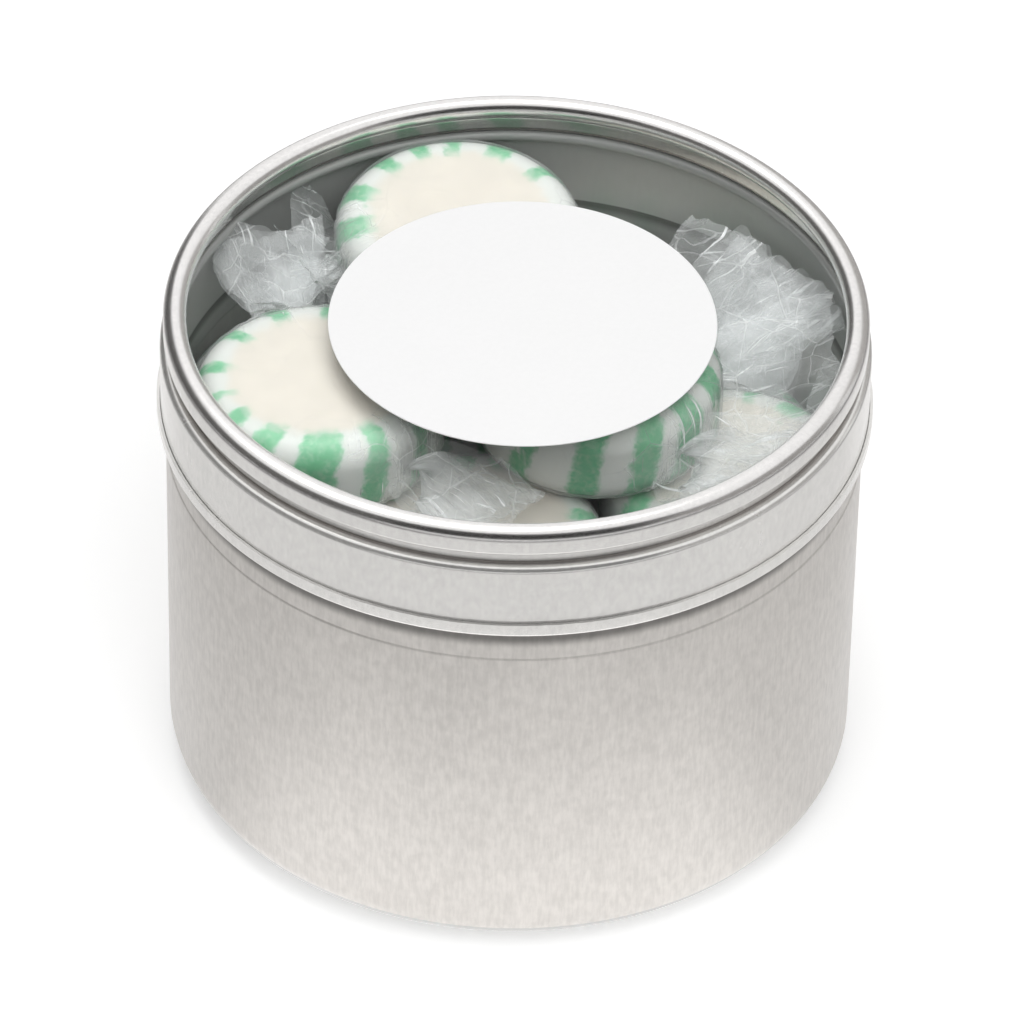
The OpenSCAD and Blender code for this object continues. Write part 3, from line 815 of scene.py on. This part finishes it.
@dataclass
class WrappedMint:
    """One mint and its twist wrapper."""

    index: int
    diameter: float = 24.4
    thickness: float = 9.0
    edge_round: float = 2.6
    film_gap: float = 0.12
    back_tilt: float = 4.0
    fan_reach: float = 1.25
    fan_width: float = 1.25
    wall_inside: float = 33.4
    window_under: float = 50.3
    steps: int = 112
    node: str = field(init=False)
    film_node: str = field(init=False)

    def __post_init__(self) -> None:
        """Names the solids that this mint stands for."""
        self.node = f"mint_{self.index + 1:02d}"
        self.film_node = f"wrapper_{self.index + 1:02d}"

    @property
    def turn(self) -> float:
        """The angle that the mint is turned to, in degrees."""
        if self.index < 12:
            layer, place = divmod(self.index, 4)
            return 121.5 - 45 * (layer % 2) + 90 * place
        return FOURTH_TURNS[self.index - 12] if self.index < 16 else TOP_TURNS[self.index - 16]

    @property
    def ends(self) -> tuple[FilmEnd, FilmEnd]:
        """The two gathered ends of the film."""
        return SPECIAL_ENDS.get(self.index, FOLDED)

    def placing(self) -> Matrix:
        """The matrix from the mint's own frame, in metres, to where it lies."""
        low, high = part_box(self.node)
        middle = (Vector(low) + Vector(high)) / 2
        tilt = self.back_tilt if self.index == 16 else 0.0
        return (Matrix.Translation(middle) @ Matrix.Rotation(math.radians(tilt), 4, "X")
                @ Matrix.Rotation(math.radians(self.turn), 4, "Z"))

    def pill(self, radius: float, thickness: float, rounding: float, step: float) -> list[Point]:
        """Outline of a disc with rounded edges, from axis to axis."""
        half = thickness / 2
        centre = radius - rounding
        flats = [centre * k / 4 for k in range(4)]
        top = [(x, half) for x in flats] + arc((centre, half - rounding), rounding, 90, 0, step)
        low = arc((centre, rounding - half), rounding, 0, -90, step) + [(x, -half) for x in reversed(flats)]
        return top + low

    def stripes(self) -> tuple[Stripe, ...]:
        """The mint's stripes, turned with the world, or an even set where the mint is hidden."""
        if self.index in SEEN_STRIPES:
            return SEEN_STRIPES[self.index]
        step = 360 / STRIPE_COUNT
        return tuple(Stripe(self.turn + step * k + 5 * math.sin(self.index + 2.3 * k),
                            12.5 + 3 * math.sin(self.index * 2.0 + 4.1 * k)) for k in range(STRIPE_COUNT))

    def stripe_depth(self, turn: float, slant: float) -> float:
        """How far inside the nearest stripe a place is, in degrees, negative outside.

        Args:
            turn: the place's turn round the mint, in the world.
            slant: how far the stripes have swung at the place's height.

        Returns:
            The depth in degrees.
        """
        gaps = ((stripe, (turn + slant - stripe.turn + 180) % 360 - 180) for stripe in self.stripes())
        return max(stripe.width / 2 - abs(gap) for stripe, gap in gaps)

    def sweet(self, finish: bpy.types.Material) -> bpy.types.Object:
        """Makes the mint itself.

        Args:
            finish: the striped candy.

        Returns:
            The finished piece.
        """
        mesh = spun(self.pill(self.diameter / 2, self.thickness, self.edge_round, 9.0), False, self.steps)
        place = mesh.verts.layers.float_vector.new("sweet_place")
        seed = mesh.verts.layers.float.new("sweet_seed")
        stripe = mesh.verts.layers.float.new("sweet_stripe")
        radius = self.diameter / 2 * MM
        for vert in mesh.verts:
            vert[place] = vert.co / radius
            vert[seed] = self.index * 1.37
            turn = math.degrees(math.atan2(vert.co.y, vert.co.x)) + self.turn
            sway = 5 * noise.noise(Vector((vert.co.z / radius * 3, turn / 40, self.index * 3.0)))
            vert[stripe] = self.stripe_depth(turn, sway - 12 * vert.co.z / radius)
            lump = noise.noise(vert.co / MM * 0.16 + Vector((self.index * 7.0, 0.0, 0.0)))
            vert.co -= vert.normal * (0.09 + 0.09 * lump) * MM
        bmesh.ops.transform(mesh, matrix=self.placing(), verts=mesh.verts[:])
        shaded(mesh, 60.0)
        return piece(f"mint_sweet_{self.index + 1:02d}", mesh, finish, Body.TIN, [self.node])

    def joined(self, mesh: bmesh.types.BMesh, part: bmesh.types.BMesh) -> None:
        """Adds a part to a mesh and frees the part."""
        copy = bpy.data.meshes.new("part")
        part.to_mesh(copy)
        part.free()
        mesh.from_mesh(copy)
        bpy.data.meshes.remove(copy)

    def pouch(self, mesh: bmesh.types.BMesh) -> None:
        """Adds the film that is drawn tight round the mint, with gathers towards both ends."""
        radius = self.diameter / 2 + self.film_gap
        skin = spun(self.pill(radius, self.thickness + 2 * self.film_gap, self.edge_round + 0.1, 11.0), False,
                    72 if self.index <= HIDDEN_UP_TO else 200)
        gather = skin.verts.layers.float.new("film_gather")
        flow = skin.verts.layers.float_vector.new("film_flow")
        for vert in skin.verts:
            turn = math.degrees(math.atan2(vert.co.y, vert.co.x))
            out = vert.co.xy.length / (radius * MM)
            nearest = min(self.ends, key=lambda end: abs((turn - end.turn + 180) % 360 - 180))
            off = (turn - nearest.turn + 180) % 360 - 180
            vert[flow] = Vector((out * 3.0 + vert.co.z * 150, off * 0.45 * out, self.index * 3.0 + nearest.turn))
            for end in self.ends:
                off = (turn - end.turn + 180) % 360 - 180
                near = math.exp(-((off / 34) ** 2)) * max(0.0, out - 0.5) / 0.5
                ridge = math.sin(math.radians(off) * 38 + 3 * noise.noise(vert.co * 300))
                vert.co += vert.normal * 0.1 * near * (ridge - 0.4) * MM
                vert[gather] = max(vert[gather], 0.62 * near ** 1.3)
            vert.co += vert.normal * 0.05 * noise.noise(vert.co * 420 + Vector((0, 0, self.index))) * MM
        self.joined(mesh, skin)

    def fan(self, mesh: bmesh.types.BMesh, end: FilmEnd, layer: int) -> None:
        """Adds one crumpled sheet of a gathered end.

        Args:
            mesh: the wrapper's mesh, in the mint's own frame.
            end: the end's size and direction.
            layer: which of the end's sheets this is; the last is a broad one that isn't twisted.
        """
        sheet = bmesh.new()
        count = 14 if self.index <= HIDDEN_UP_TO else 48
        bmesh.ops.create_grid(sheet, x_segments=count, y_segments=count, size=1.0)
        gather = sheet.verts.layers.float.new("film_gather")
        flow = sheet.verts.layers.float_vector.new("film_flow")
        root = self.diameter / 2 - 0.1
        seed = self.index * 3.1 + layer * 5.7 + end.turn * 0.13
        hidden = self.index <= HIDDEN_UP_TO
        spread, length = (1.0, 1.0) if hidden else (self.fan_width, self.fan_reach)
        neck = end.half_width * 0.62 if layer == 2 else 0.9
        for vert in sheet.verts:
            along, across = (vert.co.x + 1) / 2, vert.co.y
            width = neck + (end.half_width * 1.06 * spread - neck) * along ** 0.8
            reach = end.out * length * along * (1 + 0.12 * crumple(across * 1.2, layer * 0.4, seed + 9) * along)
            twist = max(0.0, 1 - along / 0.45) ** 2 * math.radians(0 if layer == 2 else 200)
            twist += (layer * 0.35 - 0.2) * (1 - along)
            u, v = along * end.out / 7.5, across * width / 6.5
            pleat = math.sin(across * 9 + seed) * 0.25 * (1 - along)
            depth = pleat + 2.0 * crumple(u, v, seed, 4) * along ** 0.6 + (layer - 1) * 0.6 * along
            shift = crumple(u, v, seed + 3.3, 3) * 1.1 * along
            side, rise = across * width + shift, depth
            turned = (side * math.cos(twist) - rise * math.sin(twist), side * math.sin(twist) + rise * math.cos(twist))
            curve = math.sqrt(max(0.0, root ** 2 - min(abs(turned[0]), root) ** 2)) - root
            vert.co = Vector((root + reach + curve * (1 - along) + 0.7 * crumple(v, u, seed + 6.1, 3) * along,
                              turned[0] + end.aside * along ** 2, turned[1] + end.up * along ** 2)) * MM
            vert[gather] = 0.95 - 0.45 * along if layer < 2 else 0.45
            vert[flow] = Vector((along * 1.3 + 0.25 * across * across, across * (7 + 9 * along), seed))
        bmesh.ops.rotate(sheet, verts=sheet.verts[:], cent=(0, 0, 0),
                         matrix=Matrix.Rotation(math.radians(end.turn), 3, "Z"))
        self.joined(mesh, sheet)

    def kept_inside(self, mesh: bmesh.types.BMesh) -> None:
        """Presses film that would leave the tin against its wall and the window."""
        for vert in mesh.verts:
            out = vert.co.xy.length
            limit = (self.wall_inside - 0.3 * abs(noise.noise(vert.co * 400))) * MM
            if out > limit:
                vert.co.xy *= limit / out
            ceiling = (self.window_under - 0.4 * abs(noise.noise(vert.co * 300))) * MM
            vert.co.z = min(vert.co.z, ceiling)

    def wrapper(self, finish: bpy.types.Material) -> bpy.types.Object:
        """Makes the film round the mint with both gathered ends.

        Args:
            finish: the clear film.

        Returns:
            The finished piece.
        """
        mesh = bmesh.new()
        mesh.verts.layers.float.new("film_gather")
        mesh.verts.layers.float_vector.new("film_flow")
        self.pouch(mesh)
        for end in self.ends:
            for layer in range(1 if self.index <= HIDDEN_UP_TO else 3):
                self.fan(mesh, end, layer)
        for fold in LOOSE_FOLDS.get(self.index, ()):
            self.fan(mesh, fold, 2)
        bmesh.ops.transform(mesh, matrix=self.placing(), verts=mesh.verts[:])
        self.kept_inside(mesh)
        shaded(mesh, 35.0)
        return piece(f"mint_wrapper_{self.index + 1:02d}", mesh, finish, Body.TIN, [self.film_node])


# ---------------------------------------------------------------------------
# The studio
# ---------------------------------------------------------------------------


@dataclass
class Studio:
    """White table, soft lamps, dark cards for the metal to reflect, and the camera."""

    elevation: float = 40.25
    distance: float = 0.8
    lens: float = 284.03
    roll: float = 1.19
    target_height: float = 0.026
    shift: tuple[float, float] = (-0.0004, 0.0053)
    table_size: float = 3.0

    def flat(self, name: str, size: tuple[float, float], place: Matrix, material: bpy.types.Material) -> bpy.types.Object:
        """Makes a flat board of the studio.

        Args:
            name: the object's name.
            size: half its width and half its height, in metres.
            place: where it stands.
            material: its finish.

        Returns:
            The board.
        """
        mesh = bmesh.new()
        bmesh.ops.create_grid(mesh, x_segments=1, y_segments=1, size=1.0)
        bmesh.ops.scale(mesh, vec=(size[0], size[1], 1.0), verts=mesh.verts[:])
        bmesh.ops.transform(mesh, matrix=place, verts=mesh.verts[:])
        data = bpy.data.meshes.new(name)
        mesh.to_mesh(data)
        mesh.free()
        data.materials.append(material)
        obj = bpy.data.objects.new(name, data)
        bpy.context.scene.collection.objects.link(obj)
        return obj

    def seen_directly(self, nodes: Nodes) -> bpy.types.NodeSocket:
        """A mask that is 1 for rays from the camera, a mirror or glass."""
        path = nodes.add("LightPath")
        seen = nodes.maths("MAXIMUM", path.outputs["Is Camera Ray"], path.outputs["Is Glossy Ray"])
        return nodes.maths("MAXIMUM", seen, path.outputs["Is Transmission Ray"])

    def table(self) -> None:
        """Makes the pale table."""
        material, nodes, shader, _ = fresh_material("pale_table")
        place = nodes.add("TexCoord").outputs["Object"]
        nodes.feed(shader.inputs["Base Color"],
                   nodes.mixed(nodes.noise(place, 40.0), (0.9, 0.9, 0.9, 1.0), (0.915, 0.915, 0.915, 1.0)))
        shader.inputs["Roughness"].default_value = 0.9
        shader.inputs["Specular IOR Level"].default_value = 0.0
        shader.inputs["Emission Color"].default_value = (1.0, 1.0, 1.0, 1.0)
        nodes.feed(shader.inputs["Emission Strength"], nodes.maths("MULTIPLY", self.seen_directly(nodes), 0.3))
        self.flat("table", (self.table_size, self.table_size), Matrix.Translation((0.0, 0.0, -0.0008)), material)

    def cards(self) -> None:
        """Stands boards round the tin, from dark to light grey, which only the metal's reflections show."""
        boards = {
            "front_card": (-90.0, 34.0, (0.55, 0.28), 0.01),
            "left_card": (148.0, 18.0, (0.42, 0.24), 0.08),
            "left_front_card": (205.0, 21.0, (0.3, 0.24), 0.1),
            "right_card": (55.0, 16.0, (0.28, 0.21), 0.42),
            "right_front_card": (-12.0, 20.0, (0.36, 0.2), 0.32),
        }
        for name, (turn, lift, size, glow) in boards.items():
            material, nodes, shader, _ = fresh_material(name)
            place = nodes.add("TexCoord").outputs["Object"]
            nodes.feed(shader.inputs["Base Color"],
                       nodes.mixed(nodes.noise(place, 8.0), (0.01, 0.01, 0.01, 1.0), (0.02, 0.02, 0.02, 1.0)))
            shader.inputs["Roughness"].default_value = 1.0
            shader.inputs["Emission Color"].default_value = (1.0, 0.97, 0.94, 1.0)
            shader.inputs["Emission Strength"].default_value = glow
            place_at = (Matrix.Rotation(math.radians(turn), 4, "Z") @ Matrix.Rotation(math.radians(-lift), 4, "Y")
                        @ Matrix.Translation((0.6, 0.0, 0.0)) @ Matrix.Rotation(math.radians(90), 4, "Y")
                        @ Matrix.Rotation(math.radians(90), 4, "Z"))
            self.unseen(self.flat(name, size, place_at, material))

    def reflector(self) -> None:
        """Lays a glowing board round the foot of the tin, which only the metal's reflections show."""
        material, nodes, shader, _ = fresh_material("glowing_board")
        place = nodes.add("TexCoord").outputs["Object"]
        unrolled = nodes.add("Group", {0: place}, node_tree=round_coordinates())
        out = unrolled.outputs["Out"]
        y = nodes.add("SeparateXYZ", {0: place}).outputs[1]
        forward = nodes.maths("DIVIDE", y, out)
        front = nodes.ramp(out, 0.038, 0.085, 1.75, 0.72)
        flank = nodes.ramp(out, 0.038, 0.085, 1.0, 0.75)
        rear = nodes.ramp(out, 0.038, 0.085, 1.2, 0.95)
        ahead, behind = nodes.ramp(forward, -0.35, -0.85), nodes.ramp(forward, 0.2, 0.7)
        glow = nodes.add("Mix", {0: ahead, 2: flank, 3: front}).outputs[0]
        glow = nodes.add("Mix", {0: behind, 2: glow, 3: rear}).outputs[0]
        glow = nodes.maths("MULTIPLY", glow, nodes.ramp(out, 0.11, 0.22, 1.0, 0.3))
        shader.inputs["Base Color"].default_value = (0.0, 0.0, 0.0, 1.0)
        shader.inputs["Specular IOR Level"].default_value = 0.0
        shader.inputs["Roughness"].default_value = 1.0
        shader.inputs["Emission Color"].default_value = (1.0, 0.99, 0.985, 1.0)
        nodes.feed(shader.inputs["Emission Strength"], glow)
        board = self.flat("glow_board", (0.45, 0.45), Matrix.Translation((0.0, 0.0, -0.0004)), material)
        self.unseen(board)

    def unseen(self, board: bpy.types.Object) -> None:
        """Hides a board from everything but reflections."""
        board.visible_camera = False
        board.visible_diffuse = False
        board.visible_transmission = False
        board.visible_shadow = False

    def world(self) -> None:
        """Lights the room evenly and leaves a white background."""
        world = bpy.data.worlds.new("white_room")
        world.use_nodes = True
        world.node_tree.nodes.clear()
        nodes = Nodes(world.node_tree)
        strength = nodes.ramp(self.seen_directly(nodes), 0.0, 1.0, 0.36, 1.0, smooth=False)
        room = nodes.add("Background", {"Color": (1.0, 1.0, 1.0, 1.0), "Strength": strength})
        output = nodes.add("OutputWorld")
        nodes.feed(output.inputs["Surface"], room.outputs[0])
        bpy.context.scene.world = world

    def lamp(self, name: str, place: tuple[float, float, float], size: float, power: float,
             mirrored: bool = True) -> None:
        """Hangs a soft lamp that faces the tin.

        Args:
            name: the lamp's name.
            place: where it hangs, in metres.
            size: its width in metres.
            power: its power in watts.
            mirrored: whether the metal shows it.
        """
        light = bpy.data.lights.new(name, "AREA")
        light.shape = "DISK"
        light.size = size
        light.energy = power
        obj = bpy.data.objects.new(name, light)
        obj.location = place
        obj.rotation_euler = (Vector((0, 0, 0.03)) - Vector(place)).to_track_quat("-Z", "Y").to_euler()
        obj.visible_glossy = mirrored
        bpy.context.scene.collection.objects.link(obj)

    def camera(self) -> None:
        """Sets the camera at the photographed angle."""
        data = bpy.data.cameras.new("camera")
        data.lens = self.lens
        data.sensor_width = 36.0
        data.clip_start = 0.01
        data.shift_x, data.shift_y = self.shift
        obj = bpy.data.objects.new("camera", data)
        rise = math.radians(self.elevation)
        target = Vector((0.0, 0.0, self.target_height))
        obj.location = target + Vector((0.0, -math.cos(rise), math.sin(rise))) * self.distance
        aim = (target - obj.location).to_track_quat("-Z", "Y").to_matrix().to_4x4()
        obj.rotation_euler = (aim @ Matrix.Rotation(math.radians(self.roll), 4, "Z")).to_euler()
        bpy.context.scene.collection.objects.link(obj)
        bpy.context.scene.camera = obj

    def build(self) -> None:
        """Sets up the whole studio."""
        self.camera()
        self.world()
        self.table()
        self.reflector()
        self.cards()
        self.lamp("top_lamp", (-0.15, 0.25, 0.9), 0.6, 1.8)
        self.lamp("front_lamp", (0.12, -0.48, 0.9), 1.0, 5.8, mirrored=False)
        scene = bpy.context.scene
        scene.view_settings.view_transform = "Standard"
        scene.cycles.transparent_max_bounces = 32
        LOG.info("studio: table, cards, lamps and camera")


def main() -> None:
    """Builds the tin, its lid, the mints and the studio in order."""
    logging.basicConfig(level=logging.INFO, format="%(message)s")
    Studio().build()
    # The body's finish paints shade: a dark band just under the lid's hem stands in for the hem's shadow.
    DrawnTin().build(Tinplate("satin_tinplate", colour=(0.625, 0.6, 0.57), stretch=0.2, grain_contrast=2.4,
                              painted_shade_colour=(0.1, 0.095, 0.09), painted_shade_from=39.75, painted_shade_to=40.0, painted_shade_fade=1.3,
                              painted_shade_strength=0.8).build())
    # The lid's finish paints shade: a thin dark band at the foot of the window groove stands in for the shade in that
    # crease.
    LidRing().build(Tinplate("lid_tinplate", colour=(0.83, 0.82, 0.8), metallic=0.75, roughness=0.24,
                             inner_radius=0.0, rolled_above=51.9, stretch=0.4, grain_depth=0.006, painted_shade_from=48.7,
                             painted_shade_to=49.0, painted_shade_fade=0.1, painted_shade_out=34.15, painted_shade_strength=0.7).build())
    LidWindow().build(ClearSheet("clear_window").build())
    PaperLabel().build(LabelPaper("label_paper").build())
    candy = MintCandy("mint_candy").build()
    film = CrinkledFilm("wrapper_film").build()
    for index in range(19):
        mint = WrappedMint(index)
        mint.sweet(candy)
        mint.wrapper(film)


if __name__ == "__main__":
    main()
